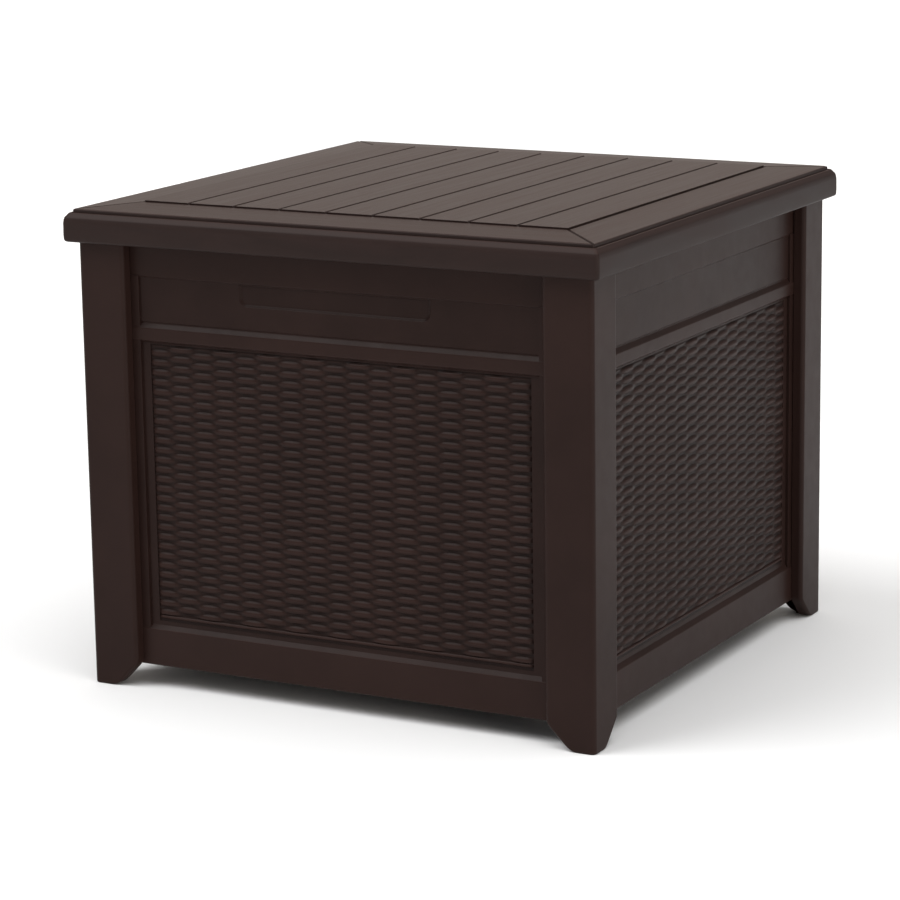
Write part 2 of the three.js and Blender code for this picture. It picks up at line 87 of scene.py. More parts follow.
# Wall panels, drawn facing -Y: the face, the plate behind it and the wicker field
PANEL_FACE = -FRONT_LOW.y
PANEL_INNER = -FRONT_HIGH.y
PANEL_BOTTOM = FRONT_LOW.z
PANEL_TOP = FRONT_HIGH.z
FIELD_BASE = PANEL_INNER + 3 * MM
BAND_FACE = PANEL_FACE - 3.4 * MM
STRIP_FACE = PANEL_FACE - 1.5 * MM
STILE_FACE = PANEL_FACE - 0.7 * MM
STILE_START = 269 * MM
STILE_END = 290 * MM
STRIP_BOTTOM = 513 * MM
STRIP_TOP = 558 * MM
RAIL_TOP = 456 * MM
RAIL_BOTTOM = 434.5 * MM
RAIL_ROUND = 2.5 * MM
BOTTOM_RAIL_TOP = 79 * MM
WEAVE_HALF = 257 * MM
WEAVE_BOTTOM = 85 * MM
WEAVE_TOP = 431 * MM
RECESS_HALF = 128.5 * MM
RECESS_BOTTOM = 486 * MM
RECESS_TOP = 511.5 * MM
RECESS_RADIUS = 10 * MM

# Wicker strands
COLUMN_PITCH = 30.5 * MM
STRAND_PITCH = 6.0 * MM
STRAND_RELIEF = 3.6 * MM
STRAND_FLATNESS = 0.55
STEPS_PER_COLUMN = 8
STEPS_PER_STRAND = 6
BEAD_MIDDLE = WEAVE_BOTTOM + 6 * MM
BEAD_HALF = 2.2 * MM
FLAT_RELIEF = 0.25

# Screws
HEAD_HEIGHT = 2.4 * MM
HEAD_RADIUS = 4.4 * MM
HEAD_RIM = 0.5 * MM
SHANK_RADIUS = 1.9 * MM
TIP_LENGTH = 3 * MM
SCREW_SIDES = 24
DOME_STEPS = 6

QUARTER = math.pi / 2
SPECULAR = 0.075
RESIN = (0.0205, 0.0108, 0.0090)


# ---------------------------------------------------------------- materials

def material(name):
    made = bpy.data.materials.new(name)
    made.use_nodes = True
    return made, made.node_tree.nodes, made.node_tree.links


def node(nodes, kind, **values):
    made = nodes.new(kind)
    for key, value in values.items():
        if hasattr(made, key):
            setattr(made, key, value)
        else:
            made.inputs[key.replace("_", " ")].default_value = value
    return made


def feed(links, socket, value):
    """Gives a socket its value: another socket, a number or a colour."""
    if isinstance(value, bpy.types.NodeSocket):
        links.new(value, socket)
    else:
        socket.default_value = value


def shade(colour, factor):
    return tuple(channel * factor for channel in colour)


def ramp(nodes, links, source, stops):
    """Colours the source by stops of (position, colour)."""
    made = nodes.new("ShaderNodeValToRGB")
    elements = made.color_ramp.elements
    while len(elements) < len(stops):
        elements.new(0.5)
    for element, (position, colour) in zip(elements, stops):
        element.position = position
        element.color = (*colour, 1)
    links.new(source, made.inputs["Fac"])
    return made.outputs["Color"]


def math_node(nodes, links, operation, *values):
    """A math node on sockets or numbers."""
    made = node(nodes, "ShaderNodeMath", operation=operation)
    for socket, value in zip(made.inputs, values):
        feed(links, socket, value)
    return made.outputs["Value"]


def mix_colours(nodes, links, first, second, blend="MIX", factor=1.0):
    """Mixes two colours, each a socket or a plain colour; the factor is a socket or a number."""
    made = nodes.new("ShaderNodeMix")
    made.data_type = "RGBA"
    made.blend_type = blend
    # The colour sockets share their names with the number sockets, so they are picked by place.
    feed(links, made.inputs[0], factor)
    feed(links, made.inputs[6], first)
    feed(links, made.inputs[7], second)
    return made.outputs[2]


def object_space(nodes, links, scale=(1, 1, 1)):
    """Object coordinates, stretched by scale."""
    coordinates = nodes.new("ShaderNodeTexCoord")
    mapping = nodes.new("ShaderNodeMapping")
    mapping.inputs["Scale"].default_value = scale
    links.new(coordinates.outputs["Object"], mapping.inputs["Vector"])
    return mapping.outputs["Vector"]


def noise(nodes, links, vector, **values):
    made = node(nodes, "ShaderNodeTexNoise", **values)
    links.new(vector, made.inputs["Vector"])
    return made.outputs["Fac"]


def vary_roughness(nodes, links, source, low, high):
    gloss = node(nodes, "ShaderNodeMapRange", To_Min=low, To_Max=high)
    links.new(source, gloss.inputs["Value"])
    links.new(gloss.outputs["Result"], nodes["Principled BSDF"].inputs["Roughness"])


def add_bump(nodes, links, layers):
    """Chains bump layers of (height, strength, distance) into the shader's normal."""
    normal = None
    for height, strength, distance in layers:
        bump = node(nodes, "ShaderNodeBump", Strength=strength, Distance=distance)
        links.new(height, bump.inputs["Height"])
        if normal is not None:
            links.new(normal, bump.inputs["Normal"])
        normal = bump.outputs["Normal"]
    links.new(normal, nodes["Principled BSDF"].inputs["Normal"])


def paint_edge_highlights(nodes, links, colour, highlight_colour):
    """Painted highlight: paler resin along the pointy edges, standing in for the light that rounded edges
    catch.
    """
    geometry = nodes.new("ShaderNodeNewGeometry")
    edge_highlight = ramp(nodes, links, geometry.outputs["Pointiness"], [(0.5, (0, 0, 0)), (0.62, (1, 1, 1))])
    highlight_amount = math_node(nodes, links, "MULTIPLY", edge_highlight, 0.45)
    return mix_colours(nodes, links, colour, (*highlight_colour, 1), factor=highlight_amount)


def paint_relief_shade(nodes, links, colour):
    """Painted shade in the wicker's deep places and a painted highlight on its strand tops, read from the
    relief heights.
    """
    attribute = node(nodes, "ShaderNodeAttribute", attribute_name="relief")
    stops = [(0.1, (0.45, 0.45, 0.45)), (0.6, (1.0, 1.0, 1.0)), (1.0, (1.3, 1.3, 1.3))]
    # Low relief is darkened as painted shade, high relief lightened as painted highlight.
    depth = ramp(nodes, links, attribute.outputs["Fac"], stops)
    return mix_colours(nodes, links, colour, depth, "MULTIPLY")


def moulded_resin(name, colour, roughness=0.37, texture=0.12, relief=False):
    """Dark moulded resin: cloudy tone, a fine eroded skin, and painted highlights that make its edges paler;
    with relief, painted shade and highlight on the wicker.
    """
    made, nodes, links = material(name)
    principled = nodes["Principled BSDF"]
    vector = object_space(nodes, links)
    cloud = noise(nodes, links, vector, Scale=9.0, Detail=5.0, Roughness=0.6)
    skin = noise(nodes, links, vector, Scale=900.0, Detail=3.0, Roughness=0.7)
    swirl = noise(nodes, links, vector, Scale=60.0, Detail=3.0, Roughness=0.5)
    tones = ramp(nodes, links, cloud, [(0.3, shade(colour, 0.86)), (0.7, shade(colour, 1.14))])
    # Painted highlight: edges picked out by pointiness are made paler.
    final_colour = paint_edge_highlights(nodes, links, tones, shade(colour, 1.7))
    if relief:
        # Painted shade in the wicker's hollows and painted highlight on its strand tops.
        final_colour = paint_relief_shade(nodes, links, final_colour)
    links.new(final_colour, principled.inputs["Base Color"])
    vary_roughness(nodes, links, swirl, roughness - 0.06, roughness + 0.08)
    add_bump(nodes, links, [(skin, texture, 0.2 * MM), (swirl, 0.05, 1 * MM)])
    principled.inputs["Specular IOR Level"].default_value = SPECULAR
    return made


def across_the_slats(nodes, links, position):
    """1 on the two frame strips that run along X, where the grain turns with them, and 0 elsewhere."""
    split = nodes.new("ShaderNodeSeparateXYZ")
    links.new(position, split.inputs["Vector"])
    away_x = math_node(nodes, links, "ABSOLUTE", split.outputs["X"])
    away_y = math_node(nodes, links, "ABSOLUTE", split.outputs["Y"])
    nearer_the_end = math_node(nodes, links, "GREATER_THAN", away_y, away_x)
    outside_field = math_node(nodes, links, "GREATER_THAN", away_y, FIELD_HALF)
    return math_node(nodes, links, "MULTIPLY", nearer_the_end, outside_field)


def wood_look_resin(name, colour):
    """Moulded resin with a faint wood grain along each slat and frame strip, made paler where it faces up by
    a painted reflection.
    """
    made, nodes, links = material(name)
    principled = nodes["Principled BSDF"]
    coordinates = nodes.new("ShaderNodeTexCoord")
    grains = []
    for scale in ((70, 2.2, 8), (2.2, 70, 8)):
        vector = object_space(nodes, links, scale)
        grains.append(noise(nodes, links, vector, Scale=3.0, Detail=8.0, Roughness=0.62, Distortion=0.6))
    mix = nodes.new("ShaderNodeMix")
    links.new(across_the_slats(nodes, links, coordinates.outputs["Object"]), mix.inputs["Factor"])
    links.new(grains[0], mix.inputs["A"])
    links.new(grains[1], mix.inputs["B"])
    grain = mix.outputs["Result"]
    tones = ramp(nodes, links, grain, [(0.3, shade(colour, 0.82)), (0.5, colour), (0.72, shade(colour, 1.2))])
    facing = nodes.new("ShaderNodeSeparateXYZ")
    links.new(coordinates.outputs["Normal"], facing.inputs["Vector"])
    # Painted reflection: faces turned up, the lid's top and bead, are made paler, standing in for the light
    # they reflect.
    top_sheen = ramp(nodes, links, facing.outputs["Z"], [(0.5, (1, 1, 1)), (0.95, (1.75, 1.7, 1.65))])
    with_top_sheen = mix_colours(nodes, links, tones, top_sheen, "MULTIPLY")
    links.new(with_top_sheen, principled.inputs["Base Color"])
    skin = noise(nodes, links, coordinates.outputs["Object"], Scale=800.0, Detail=3.0, Roughness=0.7)
    vary_roughness(nodes, links, grain, 0.42, 0.6)
    add_bump(nodes, links, [(grain, 0.3, 0.8 * MM), (skin, 0.15, 0.2 * MM)])
    principled.inputs["Specular IOR Level"].default_value = SPECULAR * 2
    return made


def zinc_steel(name):
    """Zinc-plated steel with a faint mottling from blue-grey to straw."""
    made, nodes, links = material(name)
    principled = nodes["Principled BSDF"]
    principled.inputs["Metallic"].default_value = 1.0
    mottle = noise(nodes, links, object_space(nodes, links), Scale=400.0, Detail=4.0, Roughness=0.6)
    tones = ramp(nodes, links, mottle, [(0.35, (0.36, 0.37, 0.38)), (0.7, (0.55, 0.54, 0.5))])
    links.new(tones, principled.inputs["Base Color"])
    vary_roughness(nodes, links, mottle, 0.28, 0.45)
    add_bump(nodes, links, [(mottle, 0.1, 0.1 * MM)])
    return made


wall_resin = moulded_resin("wall_resin", RESIN)
weave_resin = moulded_resin("weave_resin", RESIN, roughness=0.4, relief=True)
inner_resin = moulded_resin("inner_resin", shade(RESIN, 0.9), roughness=0.5, texture=0.2)
hinge_resin = moulded_resin("hinge_resin", shade(RESIN, 0.85), roughness=0.38)
lid_resin = wood_look_resin("lid_resin", shade(RESIN, 0.95))
steel = zinc_steel("zinc_steel")


# ---------------------------------------------------------------- mesh tools

def add_object(name, data):
    made = bpy.data.objects.new(name, data)
    bpy.context.scene.collection.objects.link(made)
    return made


def piece_from(name, vertices, faces):
    mesh = bpy.data.meshes.new(name)
    mesh.from_pydata(vertices, [], faces)
    mesh.validate()
    return add_object(name, mesh)


def paint(mesh, finish):
    mesh.materials.clear()
    mesh.materials.append(finish)


def finish_piece(piece, body, finish, slot, *nodes):
    """Gives a piece its material and its body, and hides the CAD nodes that it stands for."""
    paint(piece.data, finish)
    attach(piece, body)
    if nodes:
        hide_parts(*nodes)


def settle(piece):
    """Applies the piece's modifiers to its mesh."""
    bpy.context.view_layer.update()
    evaluated = piece.evaluated_get(bpy.context.evaluated_depsgraph_get())
    mesh = bpy.data.meshes.new_from_object(evaluated)
    piece.modifiers.clear()
    piece.data = mesh


def combine(piece, others, operation="DIFFERENCE"):
    """Cuts the others from the piece, or joins them to it, and removes them."""
    group = bpy.data.collections.new("tools")
    bpy.context.scene.collection.children.link(group)
    for other in others:
        bpy.context.scene.collection.objects.unlink(other)
        group.objects.link(other)
    boolean = piece.modifiers.new("combine", "BOOLEAN")
    boolean.operation = operation
    boolean.solver = "EXACT"
    boolean.operand_type = "COLLECTION"
    boolean.collection = group
    settle(piece)
    for other in others:
        bpy.data.objects.remove(other)
    bpy.data.collections.remove(group)


def smooth(mesh, angle):
    """Smooth shading, with edges sharper than angle in degrees kept crisp."""
    mesh.shade_smooth()
    mesh.set_sharp_from_angle(angle=math.radians(angle))


def round_edges(piece, width, angle):
    bevel = piece.modifiers.new("rounded_edges", "BEVEL")
    bevel.width = width
    bevel.segments = 2
    bevel.limit_method = "ANGLE"
    bevel.angle_limit = math.radians(angle)


def keep_faces_flat(piece, weight):
    weighted = piece.modifiers.new("flat_faces", "WEIGHTED_NORMAL")
    weighted.keep_sharp = True
    weighted.weight = weight


def soften(piece, width):
    """Rounds the piece's sharp edges and keeps its flat faces flat."""
    smooth(piece.data, 40)
    round_edges(piece, width, 28)
    keep_faces_flat(piece, 80)


def arc(centre, radius, start, end, steps, squash=1.0):
    """Points on an arc in a profile, angles in degrees; squash narrows it sideways."""
    points = []
    for step in range(steps + 1):
        angle = math.radians(start + (end - start) * step / steps)
        points.append((centre[0] + radius * squash * math.cos(angle), centre[1] + radius * math.sin(angle)))
    return points


def offsets(x, y, *steps):
    """Points of a profile, each given in millimetres from (x, y)."""
    return [(x + dx * MM, y + dy * MM) for dx, dy in steps]


def loft(name, rings):
    """A closed solid through rings of the same number of points, capped at both ends."""
    count = len(rings[0])
    vertices = [point for ring in rings for point in ring]
    faces = []
    for row in range(len(rings) - 1):
        for i in range(count):
            j = (i + 1) % count
            low, high = row * count, (row + 1) * count
            faces.append((low + i, low + j, high + j, high + i))
    faces.append(tuple(reversed(range(count))))
    last = (len(rings) - 1) * count
    faces.append(tuple(range(last, last + count)))
    return piece_from(name, vertices, faces)


def prism(name, section, start, end, side, up):
    """A section of (side, up) points carried from start to end."""
    start, end, side, up = map(Vector, (start, end, side, up))
    rings = [[base + side * u + up * v for u, v in section] for base in (start, end)]
    return face_outwards(loft(name, rings))


def face_outwards(piece):
    mesh = bmesh.new()
    mesh.from_mesh(piece.data)
    bmesh.ops.recalc_face_normals(mesh, faces=mesh.faces)
    mesh.to_mesh(piece.data)
    mesh.free()
    return piece


def box_piece(name, x, y, z):
    section = [(x[0], z[0]), (x[1], z[0]), (x[1], z[1]), (x[0], z[1])]
    return prism(name, section, (0, y[0], 0), (0, y[1], 0), (1, 0, 0), (0, 0, 1))


# ---------------------------------------------------------------- lid

def square_ring(half, height):
    """A square with rounded corners; its corner radius shrinks towards the middle."""
    radius = max(LID_INNER_CORNER_RADIUS, LID_CORNER_RADIUS - (LID_HALF - half) * 0.3)
    centre = half - radius
    points = []
    for corner, (sx, sy) in enumerate(((1, 1), (-1, 1), (-1, -1), (1, -1))):
        for step in range(LID_CORNER_STEPS + 1):
            angle = (corner + step / LID_CORNER_STEPS) * QUARTER
            x = sx * centre + radius * math.cos(angle)
            y = sy * centre + radius * math.sin(angle)
            points.append((x, y, height))
    return points


def lid_profile():
    """From the underside out round the rim, over the bead and the shadow groove, to the slats' frame."""
    edge = LID_TOP - LID_EDGE_DROP
    frame_top = LID_TOP - FIELD_RISE
    inner = LID_HALF - RIM_WALL
    points = [(300 * MM, edge + 0.5 * MM), (340 * MM, edge - 3.5 * MM), (348.5 * MM, edge - 8.5 * MM)]
    points += offsets(inner, edge, (-1.0, -13.5), (0, -18))
    points += arc((inner + 1 * MM, RIM_BOTTOM + 1 * MM), 1 * MM, 180, 270, 3)
    points += arc((LID_HALF - 4.2 * MM, RIM_BOTTOM + 4.0 * MM), 4.0 * MM, 270, 350, 6)
    points += offsets(LID_HALF, RIM_BOTTOM, (0, 9), (-0.05, 13))
    points += arc((LID_HALF - 4.6 * MM, edge - 20 * MM), 13.5 * MM, 15, 52, 5, 0.34)
    points += offsets(LID_HALF, edge, (-3.4, -7.6), (-5.8, -4.6), (-7.2, -4.0))
    points += offsets(LID_HALF, edge, (-8.0, -4.3), (-8.6, -5.4), (-9.4, -5.4), (-9.8, -4.2))
    points += arc((LID_HALF - 11.8 * MM, edge - 1.9 * MM), 2.0 * MM, 350, 446, 6)
    points += offsets(FIELD_HALF, frame_top, (3.0, -0.2), (1.8, -0.6), (1.0, -1.3), (-2.0, -1.3))
    return points


def groove_tool(name, start, end, width, depth):
    """A flared groove cutter along a line on the lid's top."""
    start, end = Vector(start), Vector(end)
    along = (end - start).normalized()
    side = along.cross(Vector((0, 0, 1))).normalized()
    up = side.cross(along)
    half = width / 2
    flare = [(-half * 1.5, 0.25 * MM), (-half, -0.1 * MM)]
    flare += [(-half * 0.62, -depth * 0.4), (-half * 0.3, -depth * 0.95)]
    section = flare + [(-u, v) for u, v in reversed(flare)]
    section += [(half * 1.5, 3 * MM), (-half * 1.5, 3 * MM)]
    return prism(name, section, start - along * 1 * MM, end + along * 1 * MM, side, up)


def make_lid():
    lid = face_outwards(loft("table_lid", [square_ring(half, height) for half, height in lid_profile()]))
    span = (-FIELD_HALF, FIELD_HALF)
    combine(lid, [box_piece("slats", span, span, (LID_TOP - FIELD_THICKNESS, LID_TOP))], "UNION")
    pitch = 2 * FIELD_HALF / SLATS
    tools = []
    for groove in range(1, SLATS):
        x = -FIELD_HALF + groove * pitch
        ends = [(x, sy * (FIELD_HALF + 1 * MM), LID_TOP) for sy in (-1, 1)]
        tools.append(groove_tool(f"groove_{groove}", *ends, GROOVE_WIDTH, GROOVE_DEPTH))
    for sx in (-1, 1):
        for sy in (-1, 1):
            inner = (sx * FIELD_HALF, sy * FIELD_HALF, LID_TOP - FIELD_RISE)
            outer = (sx * MITRE_END, sy * MITRE_END, LID_TOP - LID_EDGE_DROP)
            tools.append(groove_tool(f"mitre_{sx}_{sy}", inner, outer, MITRE_WIDTH, MITRE_DEPTH))
    combine(lid, tools)
    soften(lid, 0.35 * MM)
    finish_piece(lid, "lid", lid_resin, "lid_resin", "lid_top")


# ---------------------------------------------------------------- posts

def post_edge(height):
    """How far the post's inner edges stand from the middle, at a height above the ground.

    They run straight down to a soft shoulder, lean out to the foot and round off at the ground.
    """
    edge = POST_EDGE
    if height < SHOULDER_TOP:
        lean = FOOT_TAPER_WIDTH * (1 - height / FOOT_TAPER_HEIGHT)
        eased = 0.5 * (lean + math.hypot(lean, SHOULDER_ROUND))
        if lean > -SHOULDER_ROUND:
            eased -= SHOULDER_TRIM
        edge += max(0.0, eased)
    if height < FOOT_ROUND:
        short = 1 - height / FOOT_ROUND
        edge += FOOT_ROUND * (1 - math.sqrt(1 - short * short))
    return edge


def post_face(height):
    """How far the post's outer faces stand from the middle: they round in to the sole."""
    if height >= SOLE_ROUND:
        return POST_FACE
    short = 1 - height / SOLE_ROUND
    return POST_FACE - SOLE_ROUND * (1 - math.sqrt(1 - short ** 2))


def post_ring(height):
    """The post's section at a height, for the corner towards +X and +Y: a channel with turned-in edges."""
    edge, face = post_edge(height), post_face(height)
    wall, lip, inside = POST_WALL, PANEL_FACE + GAP, POST_FACE - POST_WALL
    r = POST_EDGE_ROUND
    points = [(lip, edge)]
    points += arc((face - r, edge + r), r, -90, 0, 5)
    points += arc((face - POST_ROUND, face - POST_ROUND), POST_ROUND, 0, 90, 9)
    points += arc((edge + r, face - r), r, 90, 180, 5)
    points += [(edge, lip), (edge + wall, lip), (edge + wall, inside), (inside, inside)]
    points += [(inside, edge + wall), (lip, edge + wall)]
    return [(x, y, height) for x, y in points]


def sole(name):
    """The foot's closed bottom, just inside the channel's walls."""
    low = post_edge(0) + POST_WALL - 0.5 * MM
    high = POST_FACE - POST_WALL + 0.5 * MM
    return box_piece(name, (low, high), (low, high), (0.4 * MM, 4 * MM))


def make_posts():
    heights = [height * MM for height in (0, 0.3, 0.8, 1.4, 2, 3, 4, 5)]
    shoulder_shares = (0.3, 0.5, 0.7, 0.8, 0.88, 0.94, 1.0, 1.06, 1.14, 1.25)
    heights += [FOOT_TAPER_HEIGHT * share for share in shoulder_shares]
    heights += [300 * MM, POST_TOP]
    for quarter, corner in enumerate(("back_right", "back_left", "front_left", "front_right")):
        post = face_outwards(loft(f"corner_{corner}", [post_ring(height) for height in heights]))
        combine(post, [sole("sole")], "UNION")
        smooth(post.data, 35)
        keep_faces_flat(post, 50)
        post.data.transform(Matrix.Rotation(quarter * QUARTER, 4, "Z"))
        finish_piece(post, "body", wall_resin, "wall_resin", f"post_{corner}")


# ---------------------------------------------------------------- wall panels

def frame_profile():
    """The panel's moulded front from bottom to top, as (distance out, height)."""
    face, band, strip = PANEL_FACE, BAND_FACE, STRIP_FACE
    plate = PANEL_INNER + 1 * MM
    points = [(plate, PANEL_BOTTOM)]
    points += arc((face - RAIL_ROUND, PANEL_BOTTOM + RAIL_ROUND), RAIL_ROUND, 270, 360, 4)
    points += offsets(face, BOTTOM_RAIL_TOP, (0, -6.0), (-0.5, -4.6), (-3.6, -0.4), (-4.4, 0.6))
    points += offsets(face, RAIL_BOTTOM, (-4.2, -2))
    points += arc((face - RAIL_ROUND, RAIL_BOTTOM + RAIL_ROUND), RAIL_ROUND, 275, 360, 4)
    points += offsets(face, RAIL_TOP, (0, -6.5), (-0.5, -4.8), (-3.4, -0.8))
    points += offsets(band, RAIL_TOP, (-0.9, 0.1), (-0.9, 1.0), (0, 2.6))
    points += offsets(band, STRIP_BOTTOM, (0, -1.0))
    points += offsets(strip, STRIP_BOTTOM, (-0.5, 0.4), (0, 1.4))
    points += [(strip, STRIP_TOP), (plate, STRIP_TOP + 4 * MM)]
    return points


def recess_tool():
    """The finger recess: a shallow pocket with rounded lower corners and sloping walls."""
    # Each ring's depth behind the panel's face, and how far it is grown from the recess's outline
    walls = offsets(0, 0, (5.9, -3.2), (5.5, -2.0), (4.7, -0.9), (3.9, -0.1), (3.2, 1.0), (-1.5, 6.0))
    rings = []
    for depth, grow in walls:
        half = RECESS_HALF + grow
        low = RECESS_BOTTOM - grow
        top = RECESS_TOP + min(0.0, grow) * 0.3
        radius = RECESS_RADIUS + grow
        outline = [(-half, top)] + arc((-half + radius, low + radius), radius, 180, 270, 8)
        outline += arc((half - radius, low + radius), radius, 270, 360, 8) + [(half, top)]
        rings.append([(x, -PANEL_FACE + depth, z) for x, z in outline])
    return face_outwards(loft("recess", rings))


def make_stile(side):
    """An upright part of the frame, its face a little below the panel's outermost face."""
    x = sorted((side * STILE_START, side * STILE_END))
    z = (PANEL_BOTTOM + 1 * MM, STRIP_BOTTOM + 1 * MM)
    return box_piece(f"stile_{side}", x, (-STILE_FACE, -PANEL_INNER - MM), z)


def make_panel(name, half_length, with_recess):
    """A wall plate with its moulded frame, cut away at the wicker field and the finger recess."""
    panel_x, panel_z = (-half_length, half_length), (PANEL_BOTTOM, PANEL_TOP)
    panel = box_piece(name, panel_x, (-FIELD_BASE, -PANEL_INNER), panel_z)
    frame_ends = (-STILE_END, 0, 0), (STILE_END, 0, 0)
    moulding = prism("moulding", frame_profile(), *frame_ends, (0, -1, 0), (0, 0, 1))
    combine(panel, [moulding, make_stile(-1), make_stile(1)], "UNION")
    field_x, field_z = (-WEAVE_HALF, WEAVE_HALF), (WEAVE_BOTTOM, WEAVE_TOP)
    cuts = [box_piece("field", field_x, (-PANEL_FACE - MM, -FIELD_BASE), field_z)]
    if with_recess:
        cuts.append(recess_tool())
    combine(panel, cuts)
    soften(panel, 0.8 * MM)
    return panel


def make_panels():
    half_lengths = {"front": FRONT_HIGH.x, "right": SIDE_HIGH.y, "back": FRONT_HIGH.x, "left": SIDE_HIGH.y}
    weave = weave_mesh()
    for quarter, (side, half_length) in enumerate(half_lengths.items()):
        turn = Matrix.Rotation(quarter * QUARTER, 4, "Z")
        panel = make_panel(f"wall_{side}", half_length, with_recess=side == "front")
        panel.matrix_world = turn
        finish_piece(panel, "body", wall_resin, "wall_resin", f"{side}_panel")
        wicker = add_object(f"wicker_{side}", weave)
        wicker.matrix_world = turn
        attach(wicker, "body")


# ---------------------------------------------------------------- wicker

def strand_height(x, z):
    """Height of the woven surface, 0 to 1: strands pass over one stake and under the next."""
    best = 0.0
    nearest = round(z / STRAND_PITCH)
    for strand in (nearest - 1, nearest, nearest + 1):
        phase = math.cos(math.pi * x / COLUMN_PITCH + math.pi * strand)
        lift = 0.5 + 0.5 * math.copysign(abs(phase) ** STRAND_FLATNESS, phase)
        width = STRAND_PITCH * (0.5 + 0.32 * lift)
        across = (z - strand * STRAND_PITCH) / width
        if abs(across) < 1:
            best = max(best, (0.2 + 0.8 * lift) * (1 - across * across) ** 0.7)
    return best


def relief_height(x, z):
    """Height of the wicker field, 0 to 1: strands that fade out at its edges, and a bead along the bottom."""
    height = strand_height(x, z) if z > BEAD_MIDDLE + BEAD_HALF else FLAT_RELIEF
    off_bead = (z - BEAD_MIDDLE) / BEAD_HALF
    if abs(off_bead) < 1:
        height = max(height, FLAT_RELIEF + (1 - FLAT_RELIEF) * math.sqrt(1 - off_bead * off_bead))
    fade = min(1.0, (WEAVE_HALF - abs(x)) / (4 * MM), (WEAVE_TOP - z) / (3 * MM))
    return height * max(FLAT_RELIEF, fade)


def weave_mesh():
    """The wicker field as one closed relief, its front a grid of heights and its back flat."""
    columns = round(2 * WEAVE_HALF / (COLUMN_PITCH / STEPS_PER_COLUMN))
    rows = round((WEAVE_TOP - WEAVE_BOTTOM) / (STRAND_PITCH / STEPS_PER_STRAND))
    edge = 0.2 * MM
    x_low, z_low = -WEAVE_HALF + edge, WEAVE_BOTTOM + edge
    x_step = 2 * (WEAVE_HALF - edge) / columns
    z_step = (WEAVE_TOP - WEAVE_BOTTOM - 2 * edge) / rows
    back = -FIELD_BASE - 0.2 * MM
    vertices, relief = [], []
    for row in range(rows + 1):
        z = z_low + row * z_step
        for column in range(columns + 1):
            x = x_low + column * x_step
            height = relief_height(x, z)
            vertices.append((x, back - 0.4 * MM - height * STRAND_RELIEF, z))
            relief.append(height)
    stride = columns + 1
    faces = []
    for row in range(rows):
        for column in range(columns):
            corner = row * stride + column
            faces.append((corner, corner + 1, corner + stride + 1, corner + stride))
    rim = list(range(stride)) + [row * stride + columns for row in range(1, rows + 1)]
    rim += [rows * stride + column for column in range(columns - 1, -1, -1)]
    rim += [row * stride for row in range(rows - 1, 0, -1)]
    first_back = len(vertices)
    for corner in rim:
        x, _, z = vertices[corner]
        vertices.append((x, back, z))
        relief.append(0.0)
    for i, corner in enumerate(rim):
        j = (i + 1) % len(rim)
        faces.append((rim[j], corner, first_back + i, first_back + j))
    faces.append(tuple(first_back + i for i in reversed(range(len(rim)))))
    mesh = bpy.data.meshes.new("wicker_relief")
    mesh.from_pydata(vertices, [], faces)
    mesh.attributes.new("relief", "FLOAT", "POINT").data.foreach_set("value", relief)
    smooth(mesh, 60)
    mesh.materials.append(weave_resin)
    return mesh


# ---------------------------------------------------------------- screws and carried-over CAD pieces

# The way each screw's head faces; the floor's screws face the middle
SCREW_HEADS = {
    "front_panel_screw": (0, 1, 0),
    "right_panel_screw": (-1, 0, 0),
    "back_panel_screw": (0, -1, 0),
    "left_panel_screw": (1, 0, 0),
    "liner_screw": (0, 0, -1),
    "leaf_screw": (0, 0, -1),
    "bracket_screw": (0, 1, 0),
}


def screw_mesh(length):
    """A pan-head screw along Z, its head's underside at 0, with a cross recess."""
    profile = [(SHANK_RADIUS * 0.15, -length), (SHANK_RADIUS, TIP_LENGTH - length)]
    profile += [(SHANK_RADIUS, 0), (HEAD_RADIUS, 0)]
    for step in range(DOME_STEPS):
        angle = QUARTER * step / DOME_STEPS
        profile.append((HEAD_RADIUS * math.cos(angle), HEAD_RIM + (HEAD_HEIGHT - HEAD_RIM) * math.sin(angle)))
    profile.append((HEAD_RADIUS * 0.12, HEAD_HEIGHT))
    turns = [2 * math.pi * side / SCREW_SIDES for side in range(SCREW_SIDES)]
    rings = []
    for radius, height in profile:
        rings.append([(radius * math.cos(a), radius * math.sin(a), height) for a in turns])
    screw = loft("screw", rings)
    slot_half, slot_reach, slot_floor = 0.55 * MM, 2.3 * MM, HEAD_HEIGHT - 1.3 * MM
    arms = []
    for x, y in ((slot_reach, slot_half), (slot_half, slot_reach)):
        arms.append(box_piece("arm", (-x, x), (-y, y), (slot_floor, HEAD_HEIGHT + MM)))
    combine(screw, arms)
    mesh = screw.data
    smooth(mesh, 35)
    paint(mesh, steel)
    bpy.data.objects.remove(screw)
    return mesh


def head_direction(cad_node, low, high):
    for kind, direction in SCREW_HEADS.items():
        if cad_node.startswith(kind):
            return Vector(direction)
    return Vector((0, 1 if low.y + high.y < 0 else -1, 0))


def make_screws():
    meshes = {}
    for cad_node in sorted(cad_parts):
        if "_screw_" not in cad_node:
            continue
        low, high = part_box(cad_node)
        direction = head_direction(cad_node, low, high)
        whole_length = max(high - low)
        length = whole_length - HEAD_HEIGHT
        key = round(length / MM)
        if key not in meshes:
            meshes[key] = screw_mesh(length)
        screw = add_object(cad_node.replace("_screw_", "_fixing_"), meshes[key])
        head_underside = (low + high) / 2 + direction * (whole_length / 2 - HEAD_HEIGHT)
        turn = Vector((0, 0, 1)).rotation_difference(direction).to_matrix().to_4x4()
        screw.matrix_world = Matrix.Translation(head_underside) @ turn
        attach(screw, "lid" if cad_node.startswith(("liner", "leaf")) else "body")
        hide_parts(cad_node)


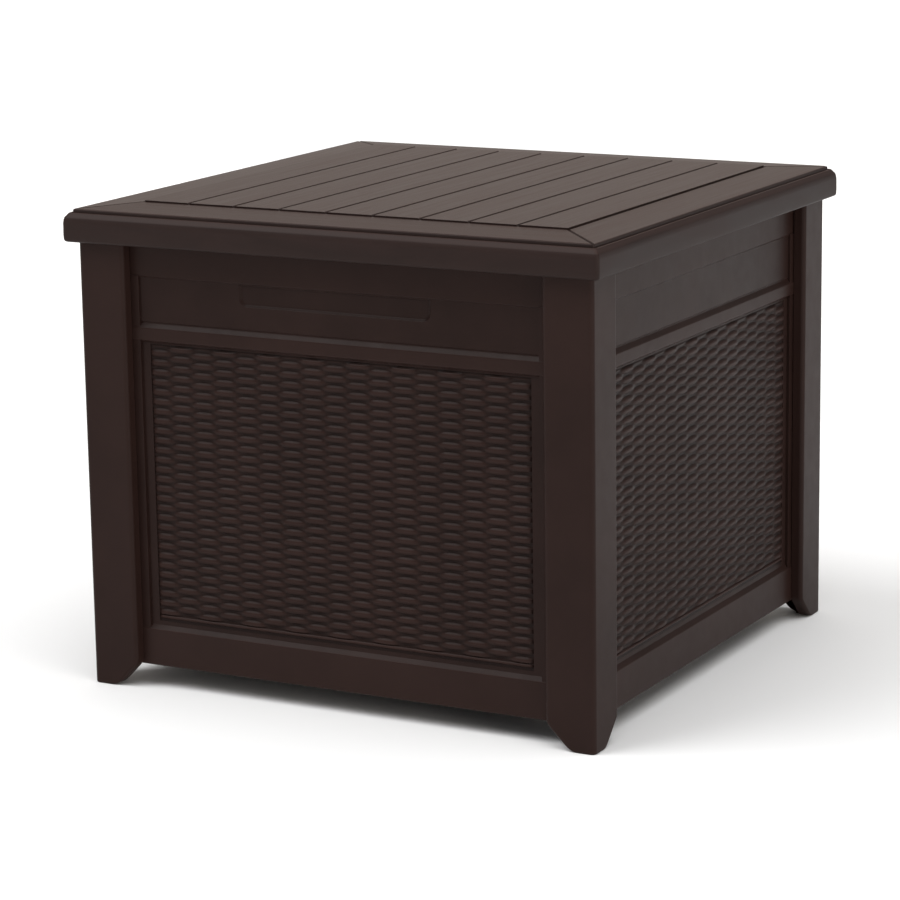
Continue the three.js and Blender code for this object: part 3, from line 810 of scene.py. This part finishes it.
def dress_cad_nodes():
    """Carried-over CAD pieces get rounded edges and their own materials."""
    finishes = {"floor_panel": inner_resin, "lid_liner": inner_resin}
    for side in ("left", "right"):
        finishes[f"hinge_bracket_{side}"] = hinge_resin
        finishes[f"hinge_leaf_{side}"] = hinge_resin
        finishes[f"hinge_pin_{side}"] = steel
    for name, finish in finishes.items():
        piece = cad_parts[name]
        paint(piece.data, finish)
        weld = piece.modifiers.new("weld", "WELD")
        weld.merge_threshold = 0.01 * MM
        round_edges(piece, 0.35 * MM, 40)


# ---------------------------------------------------------------- stage, light and camera

CAMERA_PLACE = (1.8947, -3.5615, 1.1605)
CAMERA_YAW = 28.31
CAMERA_PITCH = 12.62
CAMERA_ROLL = -0.856
LENS = 130.5
FLOOR_HALF = 40
WHITE = (1, 1, 1)
WARM = (1.0, 0.9, 0.8)


def make_camera():
    data = bpy.data.cameras.new("camera")
    data.lens = LENS
    data.sensor_width = 36
    data.clip_end = 100
    camera = add_object("camera", data)
    yaw, pitch, roll = map(math.radians, (CAMERA_YAW, CAMERA_PITCH, CAMERA_ROLL))
    turn = Matrix.Rotation(yaw, 3, "Z") @ Matrix.Rotation(QUARTER - pitch, 3, "X")
    turn = turn @ Matrix.Rotation(roll, 3, "Z")
    camera.matrix_world = Matrix.Translation(CAMERA_PLACE) @ turn.to_4x4()
    bpy.context.scene.camera = camera


def area_light(name, origin, target, size, power, colour=WHITE):
    data = bpy.data.lights.new(name, "AREA")
    data.color = colour
    data.shape = "RECTANGLE"
    data.size, data.size_y = size
    data.energy = power
    light = add_object(name, data)
    light.location = origin
    aim = Vector(target) - Vector(origin)
    light.rotation_euler = aim.to_track_quat("-Z", "Y").to_euler()


def sun_light(name, towards, spread, strength, colour=WHITE):
    """A soft sun that stands in the direction towards, spread in degrees."""
    data = bpy.data.lights.new(name, "SUN")
    data.color = colour
    data.angle = math.radians(spread)
    data.energy = strength
    light = add_object(name, data)
    light.rotation_euler = Vector(towards).to_track_quat("Z", "Y").to_euler()


def make_floor():
    half = FLOOR_HALF
    corners = [(-half, -half, 0), (half, -half, 0), (half, half, 0), (-half, half, 0)]
    floor = piece_from("floor", corners, [(0, 1, 2, 3)])
    pale, nodes, _ = material("pale_floor")
    principled = nodes["Principled BSDF"]
    principled.inputs["Roughness"].default_value = 0.9
    principled.inputs["Base Color"].default_value = (0.9, 0.9, 0.9, 1)
    floor.data.materials.append(pale)


def make_studio():
    world = bpy.data.worlds.new("studio")
    bpy.context.scene.world = world
    world.use_nodes = True
    background = world.node_tree.nodes["Background"]
    background.inputs["Color"].default_value = (*WHITE, 1)
    background.inputs["Strength"].default_value = 0.3
    sun_light("front_left_key", (-0.45, -0.39, 0.76), 38, 1.75)
    sun_light("overhead", (0.3, -0.1, 1), 60, 1.85)
    sun_light("right_key", (1, -0.35, 0.15), 20, 0.75, WARM)
    area_light("back_panel_light", (-2.1, 3.9, 1.7), (0, 0, 0.6), (5.0, 2.2), 31, WARM)
    bpy.context.scene.view_settings.view_transform = "Standard"


make_camera()
make_lid()
make_posts()
make_panels()
make_screws()
dress_cad_nodes()
make_floor()
make_studio()
